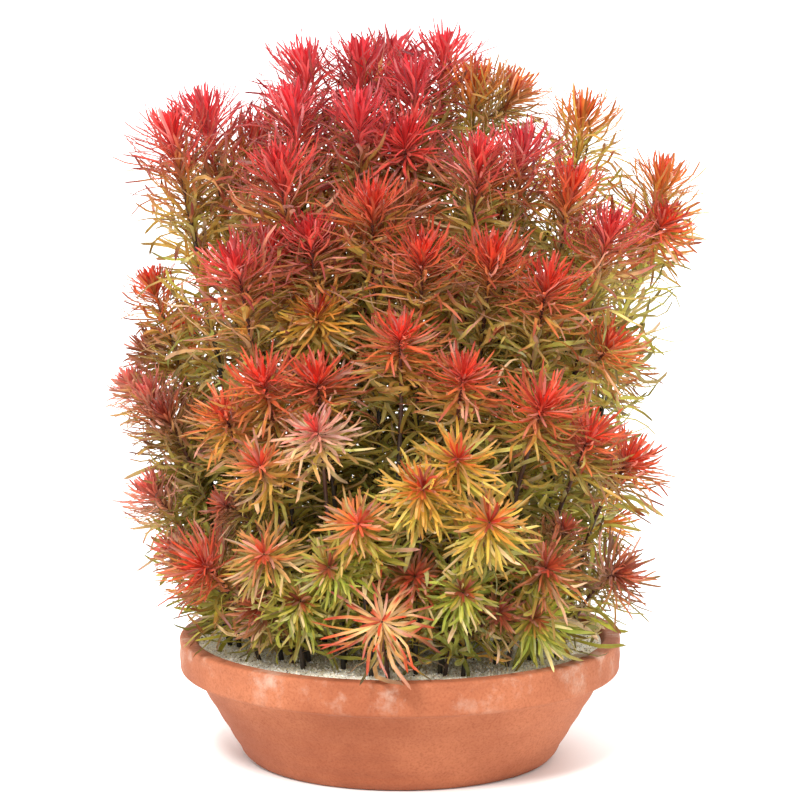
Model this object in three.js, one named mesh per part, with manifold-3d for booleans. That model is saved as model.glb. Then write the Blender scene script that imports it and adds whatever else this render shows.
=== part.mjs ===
// A dense clump of red ludwigia, an aquarium stem plant, rooted in pale sand in a plain low clay pot.
// Millimetres, +Z up. The origin is the centre of the pot's underside, and the clump's front faces -Y.
// Every leafy shoot is one solid: a curved stem, its rings of narrow leaves, and any side shoot that grew from it.
import * as THREE from "three";
import { mergeVertices } from "three/addons/utils/BufferGeometryUtils.js";
import Module from "manifold-3d";

const wasm = await Module();
wasm.setup();

// The pot: a low clay pan with a plain band round its rim.
const POT_HEIGHT = 74;
const RIM_RADIUS = 134;
const RIM_BAND_HEIGHT = 22;
const RIM_OVERHANG = 9;
const RIM_WIDTH = 10;
const FOOT_RADIUS = 92;
const FOOT_CHAMFER = 4;
const POT_FLOOR = 9;
const POT_WALL = 7;
const BAND_CHAMFER = 2;
const ROUND_STEPS = 32;

// The sand fills the pot to a little below its rim, and each rooted stem sits in a hole of its own.
const SAND_LEVEL = 70;
const ROOT_DEPTH = 12;
const GAP = 0.3;

// The stems and leaves. Each stem is three-sided, and each of its rings carries six leaves. The stem is thickest
// in its crown, where the bases of the young leaves are packed together.
const STEM_RADIUS = 1.6;
const RING_RADIUS = 2.2;
const RING_HEIGHT = 4;
const CROWN_RADIUS = 3.2;
const CROWN_TOP_RADIUS = 2;
const CROWN_LEVELS = [1.5, 8, 16];
const SIDES = 3;
const BUD_SHARE = 0.34;
const RING_TURN = THREE.MathUtils.degToRad(20);

// How leaves differ between a brush, first, and a star: how many degrees they lean out from the stem at the tip,
// once grown and when old, how far below the tip they come down, and how many times their row's length they are.
const TIP_LEAN = [10, 33];
const GROWN_LEAN = [54, 88];
const OLD_LEAN = [78, 92];
const LEAN_FADE = [6, 4];
const LEAF_REACH = [1.27, 1.04];

// How leaves age down the stem: over these distances they grow to full length, sink to their old lean, and shorten.
const GROWTH_FADE = 6;
const SINKING = [35, 120];
const SHORTENING = [90, 260];
const BUD_LEAF_SHARE = 0.36;
const OLD_LEAF_SHARE = 0.86;

// Below the crown, rings of leaves stand at these distances from the tip, where there is room above the sand.
const HIGH_RINGS = [84, 52, 28];
const MAIN_RINGS = [56, 26];
const SIDE_RINGS = [30];
const SPACE_BELOW_RINGS = 30;
const COLLAR_HEIGHT = 6;
const BEND_SPACE = 60;

// A stem's curve: how much its foot already leans towards its crown, and how far its foot and its crown hold their
// own directions, as shares of its span.
const FOOT_LEAN = 0.6;
const FOOT_HOLD = 0.38;
const CROWN_HOLD = 0.3;

// A side shoot is this much thinner than its main stem, and points at most this far away from it where it begins.
const SIDE_THICKNESS = 0.8;
const SIDE_FOOT_LEAN = 0.8;
const SIDE_FOOT_HOLD = 0.3;
const SIDE_ANGLE = THREE.MathUtils.degToRad(48);
const SIDE_SPAN = 30;
const SIDE_ROOT_RISE = 24;

// No two leaves are quite alike: a leaf leans at most this much more or less, and is this much shorter or longer.
const LEAN_CHANCE = [-0.054, 0.126];
const LENGTH_CHANCE = [0.88, 1.06];

// A leaf that would touch a neighbour is turned aside, and then shortened, until it has room. A leaf's foot is this
// thick, and thicker by this share of the height of the ring that it grows from.
const LEAF_GAP = 0.8;
const LEAF_TURNS = [0, 0.2, -0.2, 0.4, -0.4];
const LEAF_SIZES = [1, 0.85, 0.65, 0.45];
const POT_CLEARANCE = 2;
const FLOOR_CLEARANCE = 8;
const LEAF_FOOT = [0.6, 0.25];
const TIP_THICKNESS = 0.1;
const BUD_THICKNESS = 1.5;

// The front view in which the crowns were measured: from this far away and this far above the horizon.
const VIEW_DISTANCE = 1800;
const VIEW_TILT = THREE.MathUtils.degToRad(8);
const VIEW_CENTRE_ABOVE_SAND = 175;

// Stems are rooted nearer the pot's axis than their crowns are, the tallest nearest, and inside the sand's edge.
const LOW_ROOT_SHARE = 0.74;
const HIGH_ROOT_SHARE = 0.62;
const TALLEST = 350;
const ROOT_REACH = 102;

// A crown faces away from the heart of the clump, which lies at these shares of the crown's own place.
const HEART_ACROSS = 0.75;
const HEART_BACK = 0.3;
const HEART_UP = 0.5;

const CLAY = 0xa8613f;
const SAND = 0xd8d2c0;
const TINTS = {
  pink: 0xd8394a,
  red: 0xe0402c,
  orange: 0xdd6a35,
  brown: 0xa9572f,
  yellow: 0xd9a445,
  cream: 0xe3ab83,
  green: 0x9fae45,
};

// Each crown: how far across and up it is seen from the sand's middle, how far behind the pot's axis it is,
// its longest leaf, how openly it spreads from 0, a brush, to 1, a star, and its tint. Each row is one rooted
// shoot: its main crown, and then the crowns of its side shoots.
const CROWNS = {
  high: [
    [[-137, 304, -8, 33, 0.1, "red"]],
    [[-117, 317, 24, 33, 0.1, "pink"], [-86, 304, 42, 29, 0.2, "red"]],
    [[-58, 345, 38, 32, 0.1, "pink"]],
    [[-65, 320, -2, 31, 0.1, "pink"]],
    [[-24, 348, 44, 32, 0.1, "pink"], [-4, 352, 66, 28, 0.2, "pink"]],
    [[-25, 318, -6, 31, 0.1, "pink"]],
    [[26, 354, 52, 33, 0.2, "pink"]],
    [[8, 338, 20, 31, 0.2, "pink"], [3, 303, -12, 30, 0.2, "red"]],
    [[45, 335, 36, 31, 0.1, "orange"], [67, 331, 24, 30, 0.2, "brown"]],
    [[110, 315, 28, 33, 0.2, "orange"]],
    [[47, 287, -36, 33, 0.1, "red"]],
    [[73, 294, -18, 33, 0.1, "pink"]],
    [[102, 272, -32, 31, 0.1, "red"]],
    [[157, 277, 16, 33, 0.2, "orange"], [158, 254, -8, 24, 0.4, "red"]],
    [[-72, 282, -42, 34, 0.1, "red"]],
    [[-17, 261, -56, 31, 0.2, "red"], [7, 264, -40, 24, 0.3, "brown"]],
  ],
  middle: [
    [[-98, 225, -62, 32, 0.3, "red"], [-79, 237, -48, 27, 0.2, "red"]],
    [[-54, 243, -56, 30, 0.3, "red"], [-50, 198, -64, 26, 0.7, "yellow"]],
    [[-149, 217, 8, 22, 0.3, "red"], [-151, 178, 22, 22, 0.4, "brown"]],
    [[125, 245, -46, 33, 0.2, "red"], [125, 178, -50, 30, 0.4, "orange"]],
    [[13, 231, -76, 31, 0.2, "red"]],
    [[55, 230, -70, 32, 0.2, "red"]],
    [[88, 213, -72, 33, 0.3, "red"]],
    [[0, 183, -96, 30, 0.6, "red"]],
    [[-82, 156, -90, 30, 0.5, "red"]],
    [[-50, 157, -94, 29, 0.5, "red"]],
    [[-105, 136, -80, 29, 0.5, "orange"]],
    [[38, 159, -106, 29, 0.6, "red"]],
    [[85, 141, -96, 33, 0.5, "red"]],
    [[113, 122, -84, 31, 0.5, "red"]],
    [[137, 109, -62, 30, 0.5, "red"]],
    [[-140, 136, -32, 28, 0.3, "brown"]],
    [[-150, 149, -16, 26, 0.3, "pink"], [-162, 158, -4, 20, 0.4, "red"]],
  ],
  low: [
    [[-147, 90, -26, 29, 0.3, "pink"]],
    [[-84, 106, -110, 29, 0.8, "orange"], [-105, 83, -88, 20, 0.6, "brown"]],
    [[-50, 127, -114, 28, 0.7, "cream"]],
    [[35, 110, -126, 31, 0.9, "yellow"]],
    [[14, 92, -131, 30, 0.9, "yellow"], [9, 40, -116, 26, 0.9, "orange"]],
    [[54, 72, -134, 32, 1, "yellow"], [60, 18, -112, 24, 0.9, "brown"]],
    [[-25, 71, -134, 29, 1, "orange"], [-43, 45, -126, 28, 0.9, "green"]],
    [[-82, 53, -118, 28, 0.9, "orange"], [-60, 25, -112, 25, 0.9, "green"]],
    [[-117, 46, -78, 33, 0.4, "red"], [-136, 56, -46, 22, 0.4, "pink"]],
    [[-11, 12, -142, 38, 1, "cream"]],
    [[-84, 21, -90, 27, 0.8, "brown"]],
    [[38, 30, -127, 27, 0.9, "green"]],
    [[88, 45, -106, 31, 0.7, "red"], [98, 68, -90, 20, 0.6, "brown"]],
    [[129, 42, -72, 31, 0.5, "brown"], [80, 15, -104, 30, 0.8, "green"]],
  ],
  back: [
    [[-95, 262, 72, 32, 0.1, "red"], [-66, 206, 98, 30, 0.4, "orange"]],
    [[-22, 292, 86, 32, 0.1, "pink"], [-4, 238, 112, 29, 0.3, "red"], [-36, 196, 114, 28, 0.5, "orange"]],
    [[52, 270, 84, 32, 0.1, "red"], [84, 204, 96, 30, 0.4, "orange"], [36, 228, 110, 28, 0.4, "red"]],
    [[112, 238, 62, 31, 0.2, "red"], [134, 176, 58, 29, 0.4, "brown"], [94, 160, 102, 28, 0.5, "orange"]],
    [[-128, 190, 62, 30, 0.3, "red"], [-110, 134, 92, 28, 0.6, "orange"]],
    [[28, 176, 126, 31, 0.6, "red"], [62, 128, 130, 29, 0.8, "orange"]],
    [[-44, 152, 126, 30, 0.7, "orange"], [-28, 92, 138, 29, 0.9, "yellow"], [-78, 108, 118, 28, 0.8, "orange"]],
    [[112, 126, 94, 30, 0.6, "red"], [126, 76, 78, 29, 0.7, "orange"]],
    [[-130, 96, 66, 30, 0.6, "red"], [-102, 56, 96, 28, 0.9, "green"]],
    [[30, 88, 138, 30, 0.9, "orange"], [-2, 54, 136, 28, 1, "green"]],
    [[84, 66, 114, 30, 0.9, "yellow"], [50, 52, 130, 28, 1, "orange"], [-58, 60, 126, 28, 1, "yellow"]],
  ],
};

const UP = new THREE.Vector3(0, 0, 1);
const mix = (from, to, share) => from.clone().lerp(to, share);

// A repeatable source of numbers from 0 to 1, so that the clump is the same every time.
function seededRandom(seed) {
  let state = seed;
  return () => {
    state = (state * 16807) % 2147483647;
    return state / 2147483647;
  };
}

// The real place of a crown seen at (across, up) in the front view, once it is known how far back it is.
function placeSeen(across, up, back) {
  const slope = (up - VIEW_CENTRE_ABOVE_SAND) / VIEW_DISTANCE;
  const sin = Math.sin(VIEW_TILT);
  const cos = Math.cos(VIEW_TILT);
  const rise = (slope * (VIEW_DISTANCE + back * cos) - back * sin) / (cos + slope * sin);
  const distance = VIEW_DISTANCE + back * cos - rise * sin;
  return new THREE.Vector3(
    (across * distance) / VIEW_DISTANCE,
    back,
    SAND_LEVEL + VIEW_CENTRE_ABOVE_SAND + rise,
  );
}

// Crowns face away from the heart of the clump: upwards at the top, and outwards lower down.
function crownDirection(tip) {
  const height = tip.z - SAND_LEVEL;
  const heart = new THREE.Vector3(tip.x * HEART_ACROSS, tip.y * HEART_BACK, SAND_LEVEL + height * HEART_UP);
  return tip.clone().sub(heart).normalize();
}

// A main stem leaves the sand leaning a little outwards, and swings round to the way that its crown faces.
function mainStem(tip) {
  const share = THREE.MathUtils.mapLinear(tip.z - SAND_LEVEL, 0, TALLEST, LOW_ROOT_SHARE, HIGH_ROOT_SHARE);
  const reach = Math.min(Math.hypot(tip.x, tip.y) * share, ROOT_REACH);
  const root = new THREE.Vector3(tip.x, tip.y, 0).setLength(reach).setZ(SAND_LEVEL - ROOT_DEPTH);
  const span = tip.distanceTo(root);
  const start = tip.clone().sub(root).setLength(FOOT_LEAN).add(UP).setLength(span * FOOT_HOLD);
  const finish = crownDirection(tip).setLength(span * CROWN_HOLD);
  return new THREE.CubicBezierCurve3(root, root.clone().add(start), tip.clone().sub(finish), tip);
}

// A side shoot leaves its main stem at the highest place from which its own crown lies well forwards.
function sideStem(main, tip) {
  const nodes = main.corners.map((corner) => corner.frame.at);
  const foot = nodes[0];
  for (let i = nodes.length - 1; i > 0; i--) {
    for (let share = 1; share > 0; share -= 0.1) {
      const root = mix(nodes[i - 1], nodes[i], share);
      const onwards = nodes[i].clone().sub(nodes[i - 1]).normalize();
      const way = tip.clone().sub(root);
      const span = way.length();
      const low = root.distanceTo(foot) < SIDE_ROOT_RISE;
      if (low || (way.angleTo(onwards) < SIDE_ANGLE && span > SIDE_SPAN)) {
        const start = way.setLength(SIDE_FOOT_LEAN).add(onwards).setLength(span * SIDE_FOOT_HOLD);
        const finish = crownDirection(tip).setLength(span * CROWN_HOLD);
        return new THREE.CubicBezierCurve3(root, root.clone().add(start), tip.clone().sub(finish), tip);
      }
    }
  }
  return null;
}

// A value that goes from its brush form to its star form as the crown spreads.
function byForm([brush, star], spread) {
  return THREE.MathUtils.lerp(brush, star, spread);
}

// How far a leaf leans out from the stem, at a distance below the tip: young leaves stand up, old ones spread.
function leafLean(below, spread) {
  const least = byForm(TIP_LEAN, spread);
  const grown = byForm(GROWN_LEAN, spread);
  const young = grown + (least - grown) * Math.exp(-below / byForm(LEAN_FADE, spread));
  const sunk = THREE.MathUtils.smoothstep(below, ...SINKING);
  return THREE.MathUtils.degToRad(young + (byForm(OLD_LEAN, spread) - grown) * sunk);
}

// How long a leaf is: short at the tip, longest soon below it, and a little shorter again far down the stem.
function leafLength(below, longest, spread) {
  const young = 1 + (BUD_LEAF_SHARE - 1) * Math.exp(-below / GROWTH_FADE);
  const old = THREE.MathUtils.smoothstep(below, ...SHORTENING);
  return byForm(LEAF_REACH, spread) * longest * young * THREE.MathUtils.lerp(1, OLD_LEAF_SHARE, old);
}

// Room already taken: tapered rods, each with the shoot and ring that it belongs to.
const taken = [];

// The least gap between two tapered rods, from the nearest points of their middle lines.
function gapBetween(p, q) {
  const d1 = p.to.clone().sub(p.from);
  const d2 = q.to.clone().sub(q.from);
  const r = p.from.clone().sub(q.from);
  const a = d1.dot(d1);
  const e = d2.dot(d2);
  const b = d1.dot(d2);
  const c = d1.dot(r);
  const f = d2.dot(r);
  const spread = a * e - b * b;
  let s = spread > 1e-9 ? THREE.MathUtils.clamp((b * f - c * e) / spread, 0, 1) : 0;
  let t = THREE.MathUtils.clamp((b * s + f) / e, 0, 1);
  s = THREE.MathUtils.clamp((b * t - c) / a, 0, 1);
  t = THREE.MathUtils.clamp((b * s + f) / e, 0, 1);
  const near = mix(p.from, p.to, s).distanceTo(mix(q.from, q.to, t));
  return near - THREE.MathUtils.lerp(p.thick, p.thin, s) - THREE.MathUtils.lerp(q.thick, q.thin, t);
}

// A leaf stays above the sand and the rim, and off the surface that the pot stands on.
function clearOfPot(rod) {
  for (let share = 0; share <= 1; share += 0.1) {
    const at = mix(rod.from, rod.to, share);
    const radius = Math.hypot(at.x, at.y);
    const overSand = radius < RIM_RADIUS - RIM_WIDTH - POT_CLEARANCE;
    const overRim = !overSand && radius < RIM_RADIUS + POT_CLEARANCE;
    if (overSand && at.z < SAND_LEVEL + POT_CLEARANCE) return false;
    if (overRim && at.z < POT_HEIGHT + POT_CLEARANCE) return false;
    if (at.z < FLOOR_CLEARANCE) return false;
  }
  return true;
}

function clearOfShoots(rod) {
  return taken.every((other) => {
    const beside = other.part === rod.part && (other.ring < 0 || Math.abs(other.ring - rod.ring) < 2);
    return beside || gapBetween(rod, other) > LEAF_GAP;
  });
}

// The stations of a stem from its foot to its tip. Each says how far below the tip it is, how thick the stem is,
// and which ring of leaves grows from the strip above it, if any does.
function stationsOf(shoot, length) {
  const [crownTop, crownMiddle, crownFoot] = CROWN_LEVELS;
  const lower = shoot.lowerRings.filter((below) => below < length - SPACE_BELOW_RINGS);
  const firstLeaves = lower[0] ?? crownFoot;
  const stations = [{ below: length, ring: -1, radius: STEM_RADIUS }];
  if (shoot.main) {
    const tall = length - firstLeaves > BEND_SPACE;
    const bend = tall ? (length + firstLeaves) / 2 : length - ROOT_DEPTH - COLLAR_HEIGHT;
    stations.push({ below: bend, ring: -1, radius: STEM_RADIUS });
  }
  lower.forEach((below, index) => {
    stations.push({ below: below + RING_HEIGHT, ring: 2 + lower.length - index, radius: RING_RADIUS });
    stations.push({ below, ring: -1, radius: RING_RADIUS });
  });
  stations.push({ below: crownFoot, ring: 2, radius: RING_RADIUS });
  stations.push({ below: crownMiddle, ring: 1, radius: CROWN_RADIUS });
  stations.push({ below: crownTop, ring: -1, radius: CROWN_TOP_RADIUS });
  return stations;
}

// A frame at each station: where it is, which way the stem runs, and two directions across it.
function frameAt(curve, length, below) {
  const share = THREE.MathUtils.clamp(1 - below / length, 0, 1);
  const along = curve.getTangentAt(share);
  const outwards = new THREE.Vector3(curve.v3.x, curve.v3.y, 0);
  const sideways = new THREE.Vector3().crossVectors(UP, outwards).normalize();
  const across = new THREE.Vector3().crossVectors(sideways, along).normalize();
  return { at: curve.getPointAt(share), along, across, sideways: along.clone().cross(across) };
}

function roundPoint(frame, radius, angle) {
  return frame.at
    .clone()
    .addScaledVector(frame.across, radius * Math.cos(angle))
    .addScaledVector(frame.sideways, radius * Math.sin(angle));
}

// The rings of corners along a stem. The stretch in the sand is a straight prism, and above it each ring is turned
// by half a side from the last, so that every side is a triangle.
function stemRings(shoot) {
  const length = shoot.curve.getLength();
  let turn = shoot.random() * Math.PI;
  return stationsOf(shoot, length).map((station, index) => {
    const frame = frameAt(shoot.curve, length, station.below);
    const radius = station.radius * shoot.thickness;
    if (index > 1) turn += Math.PI / SIDES + (station.ring < 0 ? RING_TURN : 0);
    const corners = [];
    for (let side = 0; side < SIDES; side++) {
      corners.push(roundPoint(frame, radius, turn + (2 * Math.PI * side) / SIDES));
    }
    return { ...station, frame, corners };
  });
}

// Tries a leaf from the middle of a face, turning it aside or shortening it until it is clear of all that is there.
function leafTip(shoot, ring, middle, height) {
  const { frame } = ring;
  const below = ring.below - height / 2;
  const outwards = middle.clone().sub(frame.at).projectOnPlane(frame.along).normalize();
  const lean = leafLean(below, shoot.spread) + THREE.MathUtils.lerp(...LEAN_CHANCE, shoot.random());
  const full = leafLength(below, shoot.leaf, shoot.spread) * THREE.MathUtils.lerp(...LENGTH_CHANCE, shoot.random());
  const thick = LEAF_FOOT[0] + LEAF_FOOT[1] * height;
  for (const size of LEAF_SIZES) {
    for (const aside of LEAF_TURNS) {
      const radial = outwards.clone().applyAxisAngle(frame.along, aside);
      const way = radial.multiplyScalar(Math.sin(lean)).addScaledVector(frame.along, Math.cos(lean));
      const tip = middle.clone().addScaledVector(way, full * size);
      const rod = { from: middle, to: tip, thick, thin: TIP_THICKNESS, part: shoot.part, ring: ring.ring };
      if (clearOfPot(rod) && clearOfShoots(rod)) {
        taken.push(rod);
        return tip;
      }
    }
  }
  return null;
}

function budTip(shoot) {
  const { at, along } = shoot.corners[shoot.corners.length - 1].frame;
  return at.clone().addScaledVector(along, BUD_SHARE * shoot.leaf);
}

// One closed surface: the stem's foot, its sides, a spike for each leaf, and the bud at its tip.
function shootGeometry(shoot) {
  const points = [];
  const face = (a, b, c) => points.push(a, b, c);
  const rings = shoot.corners;
  face(...[...rings[0].corners].reverse());
  for (let i = 1; i < rings.length; i++) {
    const low = rings[i - 1];
    const high = rings[i];
    for (let side = 0; side < SIDES; side++) {
      const next = (side + 1) % SIDES;
      const triangles = [
        [low.corners[side], low.corners[next], high.corners[side]],
        [high.corners[side], low.corners[next], high.corners[next]],
      ];
      for (const [a, b, c] of triangles) {
        const middle = a.clone().add(b).add(c).divideScalar(3);
        const tip = low.ring < 0 ? null : leafTip(shoot, low, middle, low.below - high.below);
        if (tip) {
          face(a, b, tip);
          face(b, c, tip);
          face(c, a, tip);
        } else {
          face(a, b, c);
        }
      }
    }
  }
  const top = rings[rings.length - 1];
  const bud = budTip(shoot);
  for (let side = 0; side < SIDES; side++) {
    face(top.corners[side], top.corners[(side + 1) % SIDES], bud);
  }
  return new THREE.BufferGeometry().setFromPoints(points);
}

function solidOf(geometry) {
  const bare = geometry.clone();
  bare.deleteAttribute("normal");
  bare.deleteAttribute("uv");
  const merged = mergeVertices(bare, 1e-4);
  return new wasm.Manifold(
    new wasm.Mesh({
      numProp: 3,
      vertProperties: merged.attributes.position.array,
      triVerts: new Uint32Array(merged.index.array),
    }),
  );
}

function geometryOf(solid) {
  const mesh = solid.getMesh();
  const geometry = new THREE.BufferGeometry();
  geometry.setAttribute("position", new THREE.BufferAttribute(new Float32Array(mesh.vertProperties), 3));
  geometry.setIndex(new THREE.BufferAttribute(new Uint32Array(mesh.triVerts), 1));
  return geometry;
}

function potGeometry() {
  const bandFoot = POT_HEIGHT - RIM_BAND_HEIGHT;
  const neck = RIM_RADIUS - RIM_OVERHANG;
  const profile = [
    [0, 0],
    [FOOT_RADIUS, 0],
    [FOOT_RADIUS + FOOT_CHAMFER, FOOT_CHAMFER],
    [neck, bandFoot],
    [RIM_RADIUS, bandFoot + BAND_CHAMFER],
    [RIM_RADIUS, POT_HEIGHT],
    [RIM_RADIUS - RIM_WIDTH, POT_HEIGHT],
    [neck - POT_WALL, bandFoot],
    [FOOT_RADIUS + FOOT_CHAMFER - POT_WALL, POT_FLOOR],
    [0, POT_FLOOR],
  ];
  return latheUpright(profile);
}

function sandGeometry() {
  const bandFoot = POT_HEIGHT - RIM_BAND_HEIGHT;
  const neck = RIM_RADIUS - RIM_OVERHANG - POT_WALL;
  const rise = (SAND_LEVEL - bandFoot) / RIM_BAND_HEIGHT;
  const edge = neck + (RIM_RADIUS - RIM_WIDTH - neck) * rise;
  const profile = [
    [0, POT_FLOOR + GAP],
    [FOOT_RADIUS + FOOT_CHAMFER - POT_WALL - 2 * GAP, POT_FLOOR + GAP],
    [neck - 2 * GAP, bandFoot],
    [edge - 2 * GAP, SAND_LEVEL],
    [0, SAND_LEVEL],
  ];
  return latheUpright(profile);
}

function latheUpright(profile) {
  const outline = profile.map(([radius, height]) => new THREE.Vector2(radius, height));
  return new THREE.LatheGeometry(outline, ROUND_STEPS).rotateX(Math.PI / 2);
}

// Reads the crowns into shoots: each has its curve, its size and the corners of its stem.
function readShoots() {
  const shoots = [];
  for (const [zone, rows] of Object.entries(CROWNS)) {
    rows.forEach((row, index) => {
      const name = `shoot_${zone}_${String(index + 1).padStart(2, "0")}`;
      const number = shoots.length;
      let main = null;
      const parts = row.map(([across, up, back, leaf, spread, tint], order) => {
        const tip = placeSeen(across, up, back);
        const curve = order === 0 ? mainStem(tip) : sideStem(main, tip);
        const part = { part: 3 * number + order, curve, leaf, spread, tint, main: order === 0 };
        part.thickness = part.main ? 1 : SIDE_THICKNESS;
        part.lowerRings = zone === "high" ? HIGH_RINGS : MAIN_RINGS;
        if (!part.main) part.lowerRings = SIDE_RINGS;
        part.random = seededRandom(1 + 97 * number + 31 * order);
        part.corners = stemRings(part);
        main = main ?? part;
        return part;
      });
      shoots.push({ name, parts });
    });
  }
  return shoots;
}

function takeRoomForStem(part) {
  for (let i = 1; i < part.corners.length; i++) {
    const from = part.corners[i - 1].frame.at;
    const to = part.corners[i].frame.at;
    const thick = part.corners[i - 1].radius * part.thickness;
    const thin = part.corners[i].radius * part.thickness;
    taken.push({ from, to, thick, thin, part: part.part, ring: -1 });
  }
  const top = part.corners[part.corners.length - 1].frame.at;
  const bud = { thick: BUD_THICKNESS, thin: TIP_THICKNESS, part: part.part, ring: -1 };
  taken.push({ from: top, to: budTip(part), ...bud });
}

// The hole that a rooted stem fills: a prism of the stem's own turn, a little wider than the stem.
function socketFor(part) {
  const foot = part.corners[0];
  const way = part.corners[1].frame.at.clone().sub(foot.frame.at).normalize();
  const widen = (STEM_RADIUS + 3 * GAP) / STEM_RADIUS;
  const ring = (along) =>
    foot.corners.map((corner) =>
      corner.clone().sub(foot.frame.at).multiplyScalar(widen).add(foot.frame.at).addScaledVector(way, along),
    );
  const low = ring(-GAP);
  const high = ring(ROOT_DEPTH * 2);
  const points = [low[0], low[2], low[1], ...high];
  for (let side = 0; side < SIDES; side++) {
    const next = (side + 1) % SIDES;
    points.push(low[side], low[next], high[side], high[side], low[next], high[next]);
  }
  return solidOf(new THREE.BufferGeometry().setFromPoints(points));
}

function finish(colour, roughness) {
  return new THREE.MeshStandardMaterial({ color: colour, roughness, metalness: 0 });
}

function namedMesh(name, geometry, material) {
  const mesh = new THREE.Mesh(geometry, material);
  mesh.name = name;
  return mesh;
}

const clump = new THREE.Group();
clump.name = "potted_ludwigia";

const shoots = readShoots();
shoots.forEach((shoot) => shoot.parts.forEach(takeRoomForStem));

let sand = solidOf(sandGeometry());
for (const shoot of shoots) {
  sand = sand.subtract(socketFor(shoot.parts[0]));
}
clump.add(namedMesh("pot", potGeometry(), finish(CLAY, 0.9)));
clump.add(namedMesh("sand", geometryOf(sand), finish(SAND, 1)));

for (const shoot of shoots) {
  const solids = shoot.parts.map((part) => solidOf(shootGeometry(part)));
  const whole = solids.reduce((sum, next) => sum.add(next));
  clump.add(namedMesh(shoot.name, geometryOf(whole), finish(TINTS[shoot.parts[0].tint], 0.55)));
}

export default clump;
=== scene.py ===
"""A potted clump of red ludwigia, an aquarium stem plant.

Stems with rings of narrow leaves stand in pale sand in a low clay pot.
"""

import math

import bpy
import numpy as np
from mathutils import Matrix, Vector


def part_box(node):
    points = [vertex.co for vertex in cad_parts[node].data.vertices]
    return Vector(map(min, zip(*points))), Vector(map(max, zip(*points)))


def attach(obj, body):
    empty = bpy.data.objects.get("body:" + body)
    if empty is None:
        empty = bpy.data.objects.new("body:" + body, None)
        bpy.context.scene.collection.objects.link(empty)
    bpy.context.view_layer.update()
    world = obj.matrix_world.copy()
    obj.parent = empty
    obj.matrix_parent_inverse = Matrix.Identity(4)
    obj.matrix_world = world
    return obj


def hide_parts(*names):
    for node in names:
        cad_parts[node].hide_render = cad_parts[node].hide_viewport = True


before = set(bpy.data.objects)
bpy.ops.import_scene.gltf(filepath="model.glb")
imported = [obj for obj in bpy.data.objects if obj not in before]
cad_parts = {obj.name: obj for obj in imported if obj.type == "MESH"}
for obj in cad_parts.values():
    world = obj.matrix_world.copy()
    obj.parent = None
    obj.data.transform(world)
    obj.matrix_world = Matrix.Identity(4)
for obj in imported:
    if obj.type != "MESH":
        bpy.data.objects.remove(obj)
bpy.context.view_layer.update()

# Lengths are in metres unless a name ends in _MM, and angles in radians unless it ends in _DEGREES. A single
# value named CHANCE is a standard deviation, and a pair is the least and the most of an even chance.
MM = 0.001
UP = np.array([0.0, 0.0, 1.0])
FULL_TURN = 2 * math.pi
ROOT = "root"

# The pot and the sand: their outer measures are read from the frame
POT_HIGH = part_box("pot")[1]
SAND_LOW, SAND_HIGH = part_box("sand")
RIM_TOP = POT_HIGH.z
RIM_RADIUS = POT_HIGH.x
SAND_TOP = SAND_HIGH.z
SAND_RADIUS = SAND_HIGH.x
SAND_FOOT = SAND_LOW.z
RIM_BAND_HEIGHT = 22 * MM
RIM_OVERHANG = 9 * MM
RIM_WIDTH = 10 * MM
BAND_CHAMFER = 2 * MM
FOOT_RADIUS = 92 * MM
FOOT_CHAMFER = 4 * MM
POT_FLOOR = 9 * MM
POT_WALL = 7 * MM
NECK_RADIUS = RIM_RADIUS - RIM_OVERHANG
BAND_FOOT = RIM_TOP - RIM_BAND_HEIGHT

# The pot's surface: how finely it is divided, its rounded edges, the marks that a potter's fingers leave, and
# how far down lime stains it
POT_ROUND_STEPS = 128
POT_PROFILE_STEP = 1.9 * MM
POT_EDGE_ROUNDING = 2.2 * MM
ARC_STEPS = 5
ARC_REACH = 0.45
RING_DEPTH = 0.22 * MM
RING_HEIGHT = 1.9 * MM
RING_TILT = 0.6
POT_SWAY = 0.25 * MM
POT_UNEVENNESS = 0.15 * MM
POT_SHRINKAGE = 0.45 * MM
FOOT_FADE = 1 * MM
FOOT_FADE_HEIGHT = 5 * MM
RIM_FADE_HEIGHT = 8 * MM
LIME_DEPTH = 30 * MM

# The sand's surface: its gap to the pot's wall, its rings as shares of its radius, how high it ripples, how
# far inside its edge that sets in, and how deep its top layer is taken to be
SAND_GAP = 0.6 * MM
SAND_ROUND_STEPS = 160
SAND_RING_SHARES = np.linspace(0.985, 0.01, 70)
RIPPLE_HEIGHT = 1.3 * MM
RIPPLE_EDGE = (0.0, 0.02)
SURFACE_DEPTH = 0.1 * MM

# Loose grains: an eight-sided lump that is stretched and turned, and the share of them that each colour has
GRAIN_SEED = 5
GRAIN_COUNT = 9000
GRAIN_EDGE_GAP = 1 * MM
GRAIN_SIZE_MM = (0.35, 0.85)
GRAIN_STRETCH = (0.6, 1.15)
GRAIN_RISE = 0.3
GRAIN_CORNERS = np.array([[1, 0, 0], [0, 1, 0], [-1, 0, 0], [0, -1, 0], [0, 0, 1], [0, 0, -1]], float)
GRAIN_FACES = [(0, 1, 4), (1, 2, 4), (2, 3, 4), (3, 0, 4), (1, 0, 5), (2, 1, 5), (3, 2, 5), (0, 3, 5)]
GRAIN_COLOURS = ("#FFFDF6", "#FAF2E0", "#EADFC4", "#C8AE84", "#86694A", "#3A342E")
GRAIN_SHARES = (0.42, 0.34, 0.14, 0.05, 0.03, 0.02)
GRAIN_LIGHTNESS = (0.9, 1.06)

# The front view in which the crowns were measured: from this far away and this far above the horizon
VIEW_DISTANCE = 1.8
VIEW_TILT = math.radians(8)
VIEW_CENTRE_ABOVE_SAND = 0.175
PICTURE_WIDTH = 0.482
AIM_HEIGHT = 0.217
SENSOR_WIDTH_MM = 36

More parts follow.
